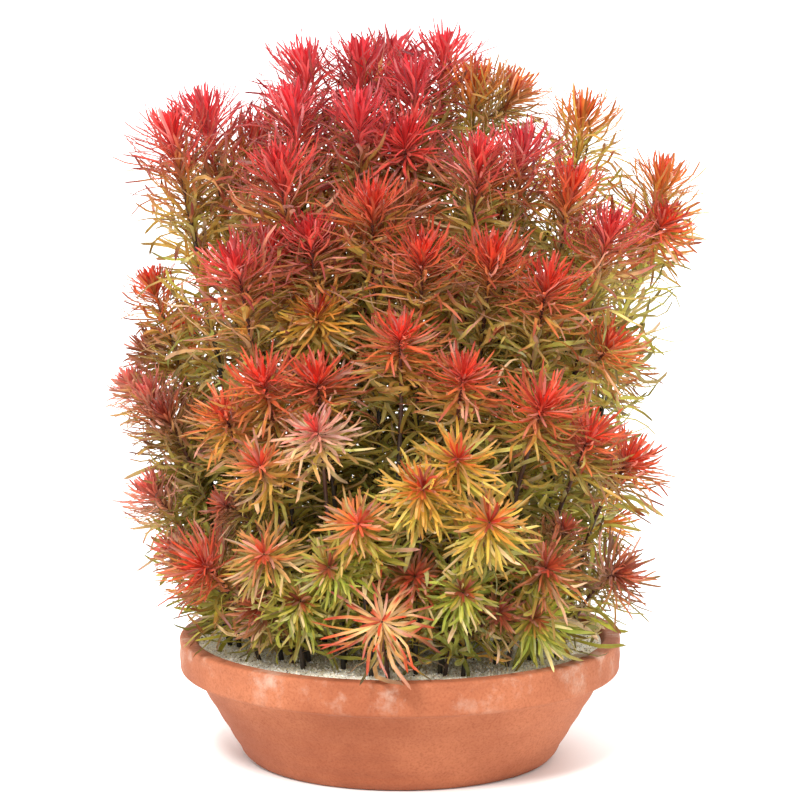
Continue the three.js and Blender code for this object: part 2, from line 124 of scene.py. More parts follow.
# The lights' names, strengths, apparent sizes and turns about x and y in degrees, and what is round them
LIGHTS = (("key", 3.15, math.radians(14), (38, -14)), ("back", 1.8, math.radians(50), (-48, 14)))
WORLD_STRENGTH = 1.3
FLOOR_REACH = 200

# Where stems are rooted, as shares of how far from the pot's axis their crowns are
LOW_ROOT_SHARE = 0.74
HIGH_ROOT_SHARE = 0.62
TALLEST = 0.35
ROOT_REACH = 0.102
ROOT_DEPTH = 0.012

# How a stem leaves its root and reaches its crown, how many points its curve has, and how it wobbles
FOOT_LEAN = 0.6
FOOT_HOLD = 0.38
CROWN_HOLD = 0.3
STEM_POINTS = 97
MAIN_WOBBLE = 1.2 * MM
SIDE_WOBBLE = 0.5 * MM
WOBBLE_WAVES = (3.1, 2.3)

# Side shoots: where along the main stem a place for their root is looked for, how near and how far aside the
# crown may be from there, and how their own stem differs
SIDE_ROOT_FIRST = 0.006
SIDE_ROOT_STEP = 0.003
SIDE_ROOT_RISE = 0.024
SIDE_SPAN = 0.03
SIDE_ANGLE = math.radians(48)
SIDE_FOOT_LEAN = 0.8
SIDE_FOOT_HOLD = 0.3
SIDE_THICKNESS = 0.8

# The stem's own surface: its radius at three places below the tip, and how its colour ages
STEM_SIDES = 8
STEM_STEP = 6 * MM
FEWEST_STEM_RINGS = 8
STEM_RADIUS_PLACES = (0, 0.06, 0.2)
STEM_RADII = (0.9 * MM, 1.35 * MM, 1.7 * MM)
STEM_TIP_SHARE = 0.35
STEM_YOUNG = "#5E3226"
STEM_OLD = "#241C14"
STEM_AGEING_MM = (10, 100)

# A crown faces away from the heart of the clump, which lies at these shares of the crown's own place
HEART_ACROSS = 0.75
HEART_BACK = 0.3
HEART_UP = 0.5

# Each crown's chance has a seed of its own, counted up from here
SHOOT_SEED = 1000

# Each crown in millimetres: how far across and up it is seen from the sand's middle, how far behind the pot's
# axis it is, its longest leaf, how openly it spreads from 0, a brush, to 1, a star, and its tint. Each row is
# one rooted shoot: its main crown, and then the crowns of its side shoots.
CROWNS = {
    "high": [
        [(-137, 304, -8, 33, 0.1, "coral")],
        [(-117, 317, 24, 33, 0.1, "pink"), (-86, 304, 42, 29, 0.2, "coral")],
        [(-58, 345, 38, 32, 0.1, "pink")],
        [(-65, 320, -2, 31, 0.1, "pink")],
        [(-24, 348, 44, 32, 0.1, "pink"), (-4, 352, 66, 28, 0.2, "pink")],
        [(-25, 318, -6, 31, 0.1, "pink")],
        [(26, 354, 52, 33, 0.2, "pink")],
        [(8, 338, 20, 31, 0.2, "pink"), (3, 303, -12, 30, 0.2, "coral")],
        [(45, 335, 36, 31, 0.1, "orange"), (67, 331, 24, 30, 0.2, "amber")],
        [(110, 315, 28, 33, 0.2, "orange")],
        [(47, 287, -36, 33, 0.1, "coral")],
        [(73, 294, -18, 33, 0.1, "pink")],
        [(102, 272, -32, 31, 0.1, "red")],
        [(157, 277, 16, 33, 0.2, "orange"), (158, 254, -8, 24, 0.4, "red")],
        [(-72, 282, -42, 34, 0.1, "coral")],
        [(-17, 261, -56, 31, 0.2, "red"), (7, 264, -40, 24, 0.3, "rust")],
    ],
    "middle": [
        [(-98, 225, -62, 32, 0.3, "coral"), (-79, 237, -48, 27, 0.2, "coral")],
        [(-54, 243, -56, 30, 0.3, "coral"), (-50, 198, -64, 26, 0.7, "yellow")],
        [(-149, 217, 8, 22, 0.3, "red"), (-151, 178, 22, 22, 0.4, "brown")],
        [(125, 245, -46, 33, 0.2, "coral"), (125, 178, -50, 30, 0.4, "orange")],
        [(13, 231, -76, 31, 0.2, "red")],
        [(55, 230, -70, 32, 0.2, "red")],
        [(88, 213, -72, 33, 0.3, "red")],
        [(0, 183, -96, 30, 0.6, "red")],
        [(-82, 156, -90, 30, 0.5, "red")],
        [(-50, 157, -94, 29, 0.5, "red")],
        [(-105, 136, -80, 29, 0.5, "orange")],
        [(38, 159, -106, 29, 0.6, "red")],
        [(85, 141, -96, 33, 0.5, "red")],
        [(113, 122, -84, 31, 0.5, "red")],
        [(137, 109, -62, 30, 0.5, "red")],
        [(-140, 136, -32, 28, 0.3, "brown")],
        [(-150, 149, -16, 26, 0.3, "rose"), (-162, 158, -4, 20, 0.4, "rose")],
    ],
    "low": [
        [(-147, 90, -26, 29, 0.3, "rose")],
        [(-84, 106, -110, 29, 0.8, "amber"), (-105, 83, -88, 20, 0.6, "brown")],
        [(-50, 127, -114, 28, 0.7, "cream")],
        [(35, 110, -126, 31, 0.9, "yellow")],
        [(14, 92, -131, 30, 0.9, "yellow"), (9, 40, -116, 26, 0.9, "rust")],
        [(54, 72, -134, 32, 1, "yellow"), (60, 18, -112, 24, 0.9, "brown")],
        [(-25, 71, -134, 29, 1, "orange"), (-43, 45, -126, 28, 0.9, "green")],
        [(-82, 53, -118, 28, 0.9, "amber"), (-60, 25, -112, 25, 0.9, "green")],
        [(-117, 46, -78, 33, 0.4, "red"), (-136, 56, -46, 22, 0.4, "rose")],
        [(-11, 12, -142, 38, 1, "salmon")],
        [(-84, 21, -90, 27, 0.8, "brown")],
        [(38, 30, -127, 27, 0.9, "green")],
        [(88, 45, -106, 31, 0.7, "rust"), (98, 68, -90, 20, 0.6, "brown")],
        [(129, 42, -72, 31, 0.5, "brown"), (80, 15, -104, 30, 0.8, "green")],
    ],
    "back": [
        [(-95, 262, 72, 32, 0.1, "red"), (-66, 206, 98, 30, 0.4, "orange")],
        [(-22, 292, 86, 32, 0.1, "pink"), (-4, 238, 112, 29, 0.3, "red"), (-36, 196, 114, 28, 0.5, "orange")],
        [(52, 270, 84, 32, 0.1, "red"), (84, 204, 96, 30, 0.4, "orange"), (36, 228, 110, 28, 0.4, "red")],
        [(112, 238, 62, 31, 0.2, "red"), (134, 176, 58, 29, 0.4, "brown"), (94, 160, 102, 28, 0.5, "orange")],
        [(-128, 190, 62, 30, 0.3, "red"), (-110, 134, 92, 28, 0.6, "orange")],
        [(28, 176, 126, 31, 0.6, "red"), (62, 128, 130, 29, 0.8, "orange")],
        [
            (-44, 152, 126, 30, 0.7, "orange"),
            (-28, 92, 138, 29, 0.9, "yellow"),
            (-78, 108, 118, 28, 0.8, "orange"),
        ],
        [(112, 126, 94, 30, 0.6, "red"), (126, 76, 78, 29, 0.7, "orange")],
        [(-130, 96, 66, 30, 0.6, "red"), (-102, 56, 96, 28, 0.9, "green")],
        [(30, 88, 138, 30, 0.9, "orange"), (-2, 54, 136, 28, 1, "green")],
        [(84, 66, 114, 30, 0.9, "yellow"), (50, 52, 130, 28, 1, "orange"), (-58, 60, 126, 28, 1, "yellow")],
    ],
}

# The leaf's outline: stations from base to tip, its width there as a share of its widest, how its width grows
# down the stem and varies, and how high its edges fold up as a share of half its width
LEAF_STATIONS = np.array([0.0, 0.17, 0.36, 0.55, 0.75, 0.92, 1.0])
LEAF_WIDTHS = np.array([0.36, 0.7, 0.94, 1.0, 0.92, 0.7, 0.0])
YOUNG_LEAF_WIDTH = 1.5 * MM
GROWN_LEAF_WIDTH = 2.7 * MM
WIDENING_MM = (3, 70)
STAR_WIDENING = 1.2
WIDTH_CHANCE = (0.8, 1.15)
LEAF_FOLD = 0.46

# Rings of leaves, from the tip down: the gap between two is narrow at first and grows down the stem
FIRST_RING = 0.3 * MM
FIRST_GAP_MM = 0.7
GAP_GROWTH_MM = 8.8
GAP_FADE = 58 * MM
MAIN_BARE_FOOT = 6 * MM
SIDE_BARE_FOOT = 5 * MM
TIP_CLEARANCE = 2 * MM
RING_TURN = math.radians(97)
RING_STRAY = 0.2
LEAF_STRAY = 0.16
LEAF_SHIFT_MM = 0.4

# How many leaves a ring has, in the crown and below it, and the shares of them that are missing
CROWN_DEPTH = 60 * MM
CROWN_LEAVES = 12
OLD_LEAF_COUNTS = {"high": 12, "middle": 10, "low": 9, "back": 16}
SPARSE_TINTS = {"salmon": 0.56, "cream": 0.36}
STAR_SPARSENESS = 0.16
STAR_SPREAD = (0.4, 0.9)
YOUNG_LOSS = 0.04
OLD_LOSS = 0.24
OLD_LOSS_PLACE = (0.14, 0.3)

# Below an open crown the stem is bare for a while: how bare, for which spreads, and from where to where
NECK_BARENESS = 0.75
NECK_SPREAD = (0.3, 0.55)
FLAT_STAR_SPREAD = (0.85, 1.0)
FLAT_STAR_COVER = 0.6
NECK_TOP = (0.018, 0.045)
NECK_FOOT = (0.07, 0.12)

# How far leaves lean out from the stem, for a brush and for a star: in the bud, grown and old, how soon they
# are grown, and from where to where below the tip they sink to the old lean
BUD_LEAN_DEGREES = (10, 33)
GROWN_LEAN_DEGREES = (58, 88)
OLD_LEAN_DEGREES = (78, 92)
LEAN_FADE_MM = (6, 4)
SINKING_MM = (35, 120)

# How long leaves are: as a share of the longest leaf for a brush and for a star, in the bud, and when old
LEAF_REACH = (1.27, 1.04)
BUD_LEAF_SHARE = 0.36
GROWTH_FADE_MM = 6
SHORTENING = 0.14
SHORTENING_MM = (90, 260)
LENGTH_CHANCE = (0.8, 1.18)

# How leaves bend. A pair named STRAY is how much of its chance a young leaf has, and what a ripe one adds.
RIPENING_MM = (3, 40)
AGEING_MM = (30, 80)
LEAN_CHANCE = 0.14
LEAN_STRAY = (0.6, 1.0)
OLD_LEAN_STRAY = 0.9
OLD_LEAN_LIFT = 0.1
ARCH = 0.34
RIPE_ARCH = 0.26
ARCH_CHANCE = 0.16
ARCH_END = 0.75
ARCH_BALANCE = 0.55
RECURVE = 0.38
STAR_RECURVE_LOSS = 0.14
RECURVE_CHANCE = 0.52
RECURVE_STRAY = (0.75, 0.75)
RECURVE_REACH = (0.4, 1.0)
SWING_CHANCE = 0.32
SWING_STRAY = (0.7, 0.8)
WAVE_CHANCE = 0.4
WAVE_STRAY = (0.6, 0.8)
DROOP = 0.2
DROOP_CHANCE = (0.0, 1.4)
TWIST_STRAY = (0.15, 0.7)
BASE_TWIST = 0.4
LEAF_START = 0.8 * MM

# How leaves clear the sand and the pot's rim
LEAF_CLEARANCE = 1.5 * MM
RIM_APPROACH = 10 * MM
RIM_CLEARANCE = 4 * MM
FALL_PAST_RIM = 1.5

# Leaf colours from the bud down to the oldest leaf, at these distances below the tip
AGE_MM = (0, 5, 15, 25, 40, 85)
PALETTES = {
    "pink": ("#F63A48", "#F65C62", "#EA6C68", "#D4825A", "#C2A25A", "#AAB05E"),
    "red": ("#EE3C28", "#EC6440", "#E2824A", "#D29C50", "#C0AE54", "#AAB858"),
    "orange": ("#EC4E34", "#F28A46", "#E8A652", "#D8B858", "#C6C060", "#AEBE5E"),
    "brown": ("#B44434", "#BE7050", "#B88C58", "#AE9E5A", "#A6A45A", "#98A652"),
    "yellow": ("#BC2E18", "#E0983C", "#EAC456", "#DECC5A", "#BCBE54", "#9CAE4E"),
    "cream": ("#F0524A", "#F8B4A2", "#FAD8BE", "#F2DEAC", "#C6CE76", "#A0B258"),
    "green": ("#98442A", "#C0B248", "#C2D45C", "#B2CC54", "#9CBA4C", "#86A448"),
    "amber": ("#DC4A34", "#D88850", "#CEA456", "#C2AC56", "#AEAA52", "#9AA450"),
    "coral": ("#F23A40", "#EE5A52", "#E2705A", "#D49052", "#C2A856", "#AAB45A"),
    "rust": ("#C44430", "#C47044", "#BE8A4E", "#AE984E", "#A29C4C", "#909E4A"),
    "rose": ("#F46C68", "#F29C8C", "#EAB698", "#D8BE86", "#C2BC70", "#AAB662"),
    "salmon": ("#D24A30", "#F8D292", "#FCE0A6", "#FAD098", "#DC985C", "#B09450"),
}

# The colour that a leaf turns to at its tip, from where to where along it, and the tint that turns fully
TIP_COLOURS = {
    "pink": "#742438",
    "red": "#86302A",
    "orange": "#803828",
    "brown": "#6E3C36",
    "yellow": "#C88640",
    "cream": "#CC8272",
    "green": "#84783C",
    "amber": "#B4703C",
    "coral": "#842E34",
    "rust": "#964834",
    "rose": "#A0625E",
    "salmon": "#C04A28",
}
TIP_REACH = {"salmon": (0.42, 0.86), "rose": (0.66, 1.0)}
USUAL_TIP_REACH = (0.52, 0.9)
FULL_TIP_TINT = "salmon"

# Colours that a leaf strays to by its age, height and place; clear tints stray less to brown and green
# Colours of old leaves; the last, near-white one is painted light shining through leaves from behind
OLD_LEAF_AND_BACKLIGHT_COLOURS = ("#CC8048", "#C8AC58", "#B8C86C", "#DCC67A", "#A8984E", "#ECECC0")
LOW_BROWN = "#B4803E"
LOW_GREEN = "#9CA040"
MIDDLE_BROWN = "#D08848"
# Pale yellow-green that old leaves on the right are moved towards: a painted backlight from the right
PAINTED_BACKLIGHT = "#CED078"
# A pale pink that a few leaves are moved towards at random: a painted highlight
PAINTED_HIGHLIGHT = "#FFD4D4"
CLEAR_TINTS = ("salmon", "green", "cream", "yellow")
CLEAR_TINT_SHARE = 0.25

# Heights above the sand, and places to the right of the axis, between which a change of colour sets in
TOP_ZONE = (0.22, 0.32)
LOW_ZONE = (0.03, 0.2)
MIDDLE_ZONE_FOOT = (0.08, 0.17)
MIDDLE_ZONE_TOP = (0.24, 0.33)
RIGHT_ZONE = (0.0, 0.08)
# Where the painted backlight sets in: right of the axis, and above these heights over the floor
PAINTED_BACKLIGHT_ZONE = (-0.02, 0.11)
PAINTED_BACKLIGHT_HEIGHT = (0.1, 0.2)

# Distances below the tip between which a change of colour sets in
OLD_LEAF_AGE_MM = (22, 45)
GREENING_AGE_MM = (14, 40)
WARMING_AGE_MM = (10, 30)
PAINTED_BACKLIGHT_AGE_MM = (22, 50)
COLOUR_RIPENING_MM = (2, 24)
TIP_FADING_AGE_MM = (30, 80)
PAINTED_FILL_AGE_MM = (15, 50)

# How strong each change of colour is, and how it varies from leaf to leaf
OWN_AGE_CHANCE = 0.3
STAR_AGEING = 1.6
TOP_YOUTH = 0.3
RIGHT_YOUTH_LOSS = 1.7
RIGHT_AGEING = 0.1
BASE_AGE = 1.2
AGE_LOSS_ALONG_LEAF = 0.4
OLD_LEAF_SHARE = 0.8
BROWN_SHARE = 0.3
BROWN_CHANCE = (0.2, 1)
GREEN_SHARE = 0.16
LOW_GREEN_SHARE = 0.58
WARM_SHARE = 0.42
RIGHT_WARM_LOSS = 0.24
PAINTED_BACKLIGHT_SHARE = 0.66
PAINTED_BACKLIGHT_CHANCE = (0.2, 1.0)
FLUSH_SHARE = 0.6
FLUSH_REACH = (0.0, 0.28)
OLD_TIP_DARKNESS = 0.5
YOUNG_TIP_SHARE = 0.3
RIPE_TIP_SHARE = 0.65
TIP_CHANCE = (0.25, 1.0)
# How strongly the painted highlight colours a leaf, and how rare such leaves are
PAINTED_HIGHLIGHT_SHARE = 0.52
PAINTED_HIGHLIGHT_RARITY = (0.76, 1.0)
# How light leaves are: older leaves, deeper in the clump, are made lighter as painted fill light against the
# shade there, and each leaf also differs at random
LIGHTNESS = 0.96
OLD_LEAF_PAINTED_FILL = 0.16
LIGHTNESS_CHANCE = (0.76, 1.12)

# The share of a leaf's look that is light shining through it
GLOW_SHARE = 0.45


def unit(v):
    """Vectors along the last axis, made one long."""
    return v / np.maximum(np.linalg.norm(v, axis=-1, keepdims=True), 1e-12)


def smoothstep(x, low, high):
    """From 0 at low to 1 at high, with no corner at either end."""
    t = np.clip((x - low) / (high - low), 0, 1)
    return t * t * (3 - 2 * t)


def spread_value(pair, spread):
    """A value between the pair's first, which is for a brush, and its second, which is for a star."""
    brush, star = pair
    return brush + (star - brush) * spread


def rgb(colour):
    """#RRGGBB as three numbers from 0 to 1, as a screen shows them."""
    return np.array([int(colour[i : i + 2], 16) for i in (1, 3, 5)]) / 255


def linear(screen):
    """Screen colours as the linear light that shaders use."""
    screen = np.clip(screen, 0, 1)
    return np.where(screen <= 0.04045, screen / 12.92, ((screen + 0.055) / 1.055) ** 2.4)


# Stems


def place_seen(across, up, back):
    """The real place of a crown seen at (across, up) in the front view, given how far back it is."""
    slope = (up - VIEW_CENTRE_ABOVE_SAND) / VIEW_DISTANCE
    sin, cos = math.sin(VIEW_TILT), math.cos(VIEW_TILT)
    rise = (slope * (VIEW_DISTANCE + back * cos) - back * sin) / (cos + slope * sin)
    distance = VIEW_DISTANCE + back * cos - rise * sin
    return np.array([across * distance / VIEW_DISTANCE, back, SAND_TOP + VIEW_CENTRE_ABOVE_SAND + rise])


def crown_direction(tip):
    """Crowns face away from the heart of the clump: upwards at the top, and outwards lower down."""
    heart_height = SAND_TOP + (tip[2] - SAND_TOP) * HEART_UP
    return unit(tip - np.array([tip[0] * HEART_ACROSS, tip[1] * HEART_BACK, heart_height]))


class Stem:
    """A smooth curve from root to tip, read by distance below the tip."""

    def __init__(self, root, first, last, tip, wobble, random):
        t = np.linspace(0, 1, STEM_POINTS)[:, None]
        lower = (1 - t) ** 3 * root + 3 * (1 - t) ** 2 * t * first
        points = lower + 3 * (1 - t) * t**2 * last + t**3 * tip
        out = unit(np.array([tip[0], tip[1], 0.0]))
        self.sideways = np.cross(UP, out)
        ways = (self.sideways, np.cross(unit(tip - root), self.sideways))
        phases = random.uniform(0, FULL_TURN, len(ways))
        envelope = np.sin(math.pi * t) * wobble
        for way, wave, phase in zip(ways, WOBBLE_WAVES, phases):
            points = points + envelope * np.sin(wave * math.pi * t + phase) * way
        steps = np.linalg.norm(np.diff(points, axis=0), axis=1)
        self.points = points
        self.reach = np.concatenate([[0.0], np.cumsum(steps)])
        self.length = self.reach[-1]
        self.tangents = unit(np.gradient(points, axis=0))

    def at(self, below):
        """Places, directions and two directions across the stem, at distances below the tip."""
        s = self.length - np.asarray(below, float)
        place = np.stack([np.interp(s, self.reach, self.points[:, i]) for i in range(3)], axis=-1)
        along = unit(np.stack([np.interp(s, self.reach, self.tangents[:, i]) for i in range(3)], axis=-1))
        across = unit(np.cross(np.broadcast_to(self.sideways, along.shape), along))
        return place, along, across, np.cross(along, across)


def main_stem(tip, random):
    """A main stem leans a little outwards from the sand, and swings round to the way that its crown faces."""
    share = np.interp((tip[2] - SAND_TOP) / TALLEST, (0, 1), (LOW_ROOT_SHARE, HIGH_ROOT_SHARE))
    reach = min(math.hypot(tip[0], tip[1]) * share, ROOT_REACH)
    root = unit(np.array([tip[0], tip[1], 0.0])) * reach
    root[2] = SAND_TOP - ROOT_DEPTH
    span = np.linalg.norm(tip - root)
    first = root + unit(FOOT_LEAN * unit(tip - root) + UP) * span * FOOT_HOLD
    last = tip - crown_direction(tip) * span * CROWN_HOLD
    return Stem(root, first, last, tip, MAIN_WOBBLE, random)


def side_stem(main, tip, random):
    """A side shoot leaves its main stem at the highest place from which its crown lies well forwards."""
    for below in np.arange(SIDE_ROOT_FIRST, main.length - SIDE_ROOT_RISE, SIDE_ROOT_STEP):
        root, onwards, _, _ = main.at(below)
        way = tip - root
        span = np.linalg.norm(way)
        if span > SIDE_SPAN and way @ onwards > math.cos(SIDE_ANGLE) * span:
            break
    first = root + unit(SIDE_FOOT_LEAN * unit(way) + onwards) * span * SIDE_FOOT_HOLD
    last = tip - crown_direction(tip) * span * CROWN_HOLD
    return Stem(root, first, last, tip, SIDE_WOBBLE, random)


def stem_tube(stem, thickness):
    """The stem's own surface: rings of vertices from its foot to its narrow tip."""
    count = max(FEWEST_STEM_RINGS, int(stem.length / STEM_STEP))
    below = np.linspace(stem.length, 0.0, count)
    place, _, across, sideways = stem.at(below)
    radius = np.interp(below, STEM_RADIUS_PLACES, STEM_RADII) * thickness
    radius[-1] *= STEM_TIP_SHARE
    angles = np.linspace(0, FULL_TURN, STEM_SIDES, endpoint=False)[None, :, None]
    ring = across[:, None, :] * np.cos(angles) + sideways[:, None, :] * np.sin(angles)
    verts = (place[:, None, :] + ring * radius[:, None, None]).reshape(-1, 3)
    faces = []
    for i in range(count - 1):
        for j in range(STEM_SIDES):
            a, b = i * STEM_SIDES + j, i * STEM_SIDES + (j + 1) % STEM_SIDES
            faces.append((a, b, b + STEM_SIDES, a + STEM_SIDES))
    faces.append(tuple(range(STEM_SIDES - 1, -1, -1)))
    faces.append(tuple(range((count - 1) * STEM_SIDES, count * STEM_SIDES)))
    old = smoothstep(below / MM, *STEM_AGEING_MM)[:, None]
    colours = rgb(STEM_YOUNG) * (1 - old) + rgb(STEM_OLD) * old
    return verts, faces, np.repeat(colours, STEM_SIDES, axis=0)


# Leaves


def ring_places(length, main):
    """Distances below the tip of the rings of leaves."""
    places = []
    below = FIRST_RING
    lowest = length - (ROOT_DEPTH + MAIN_BARE_FOOT if main else SIDE_BARE_FOOT)
    while below < lowest:
        places.append(below)
        below += (FIRST_GAP_MM + GAP_GROWTH_MM * (1 - math.exp(-below / GAP_FADE))) * MM
    return places


def leaf_places(stem, spread, tint, main, old_leaves, random):
    """Where the leaves of one stem grow: distances below the tip, and angles round the stem."""
    uncovered = 1 - FLAT_STAR_COVER * smoothstep(spread, *FLAT_STAR_SPREAD)
    bare = NECK_BARENESS * smoothstep(spread, *NECK_SPREAD) * uncovered
    sparse = SPARSE_TINTS.get(tint, STAR_SPARSENESS * smoothstep(spread, *STAR_SPREAD))
    below, angle = [], []
    for number, place in enumerate(ring_places(stem.length, main)):
        count = CROWN_LEAVES if place < CROWN_DEPTH else old_leaves
        start = number * RING_TURN + random.uniform(-RING_STRAY, RING_STRAY)
        lost = YOUNG_LOSS + OLD_LOSS * smoothstep(place, *OLD_LOSS_PLACE) + sparse
        lost += bare * smoothstep(place, *NECK_TOP) * (1 - smoothstep(place, *NECK_FOOT))
        for leaf in range(count):
            if random.uniform() > lost:
                below.append(place + random.uniform(-LEAF_SHIFT_MM, LEAF_SHIFT_MM) * MM)
                angle.append(start + FULL_TURN * leaf / count + random.uniform(-LEAF_STRAY, LEAF_STRAY))
    return np.clip(np.array(below), 0, stem.length - TIP_CLEARANCE), np.array(angle)


def leaf_lean(mm, spread):
    """How far a leaf leans out from the stem: steep in the bud, flatter when grown, and flattest when old."""
    bud = spread_value(BUD_LEAN_DEGREES, spread)
    grown = spread_value(GROWN_LEAN_DEGREES, spread)
    old = spread_value(OLD_LEAN_DEGREES, spread)
    young = bud + (grown - bud) * (1 - np.exp(-mm / spread_value(LEAN_FADE_MM, spread)))
    return np.radians(young + (old - grown) * smoothstep(mm, *SINKING_MM))


def leaf_length(mm, longest, spread):
    """How long a leaf is: short in the bud, longest when grown, and a little shorter when old."""
    grown = BUD_LEAF_SHARE + (1 - BUD_LEAF_SHARE) * (1 - np.exp(-mm / GROWTH_FADE_MM))
    old = 1 - SHORTENING * smoothstep(mm, *SHORTENING_MM)
    return spread_value(LEAF_REACH, spread) * longest * grown * old


def above_surfaces(points):
    """Leaf points that would go into the sand or the rim, lifted to lie just above them."""
    radius = np.hypot(points[..., 0], points[..., 1])
    rim_inside = RIM_RADIUS - RIM_WIDTH
    over_rim = smoothstep(radius, rim_inside - RIM_APPROACH, rim_inside)
    floor = SAND_TOP + LEAF_CLEARANCE + (RIM_TOP - SAND_TOP) * over_rim
    floor -= FALL_PAST_RIM * np.maximum(radius - RIM_RADIUS - RIM_CLEARANCE, 0)
    lifted = points.copy()
    lifted[..., 2] = np.maximum(points[..., 2], floor)
    return lifted


def stray(pair, ripe):
    """How much of its chance a leaf has: the pair's first when young, and its second added when ripe."""
    young, more = pair
    return young + more * ripe


def midribs(place, along, radial, mm, longest, spread, random):
    """The line of each leaf's midrib, from its base on the stem, station by station."""
    count = len(mm)
    t = LEAF_STATIONS
    ripe = smoothstep(mm, *RIPENING_MM)
    aged = smoothstep(mm, *AGEING_MM)
    lean_stray = stray(LEAN_STRAY, ripe) + OLD_LEAN_STRAY * aged
    lean = leaf_lean(mm, spread) + random.normal(-OLD_LEAN_LIFT * aged, LEAN_CHANCE, count) * lean_stray
    arch = ARCH + RIPE_ARCH * ripe + random.normal(0, ARCH_CHANCE, count)
    usual_recurve = RECURVE - STAR_RECURVE_LOSS * spread
    recurve = usual_recurve + random.normal(0, RECURVE_CHANCE, count) * stray(RECURVE_STRAY, ripe)
    swing = random.normal(0, SWING_CHANCE, count) * stray(SWING_STRAY, ripe)
    wave = random.normal(0, WAVE_CHANCE, count) * stray(WAVE_STRAY, ripe)
    droop = DROOP * ripe * random.uniform(*DROOP_CHANCE, count)
    length = leaf_length(mm, longest, spread) * MM * random.uniform(*LENGTH_CHANCE, count)
    bow = np.sin(math.pi * np.minimum(t, ARCH_END) / ARCH_END * 0.5) - ARCH_BALANCE
    theta = lean[:, None] + arch[:, None] * bow - recurve[:, None] * smoothstep(t, *RECURVE_REACH)
    yaw = swing[:, None] * t + wave[:, None] * np.sin(FULL_TURN * t)
    turned = np.cross(along, radial)
    outward = radial[:, None, :] * np.cos(yaw)[..., None] + turned[:, None, :] * np.sin(yaw)[..., None]
    way = along[:, None, :] * np.cos(theta)[..., None] + outward * np.sin(theta)[..., None]
    way = unit(way - UP * (droop[:, None] * t**2)[..., None])
    step = np.diff(t)[None, :, None] * length[:, None, None]
    onwards = np.cumsum(0.5 * (way[:, 1:] + way[:, :-1]) * step, axis=1)
    base = (place + radial * LEAF_START)[:, None, :]
    return above_surfaces(np.concatenate([base, base + onwards], axis=1))


def towards(colours, target, share):
    """Colours moved part of the way to another one, by a share for each leaf or for each of its stations."""
    share = share[..., None] if share.ndim == 2 else share[:, None, None]
    return colours + (target - colours) * share


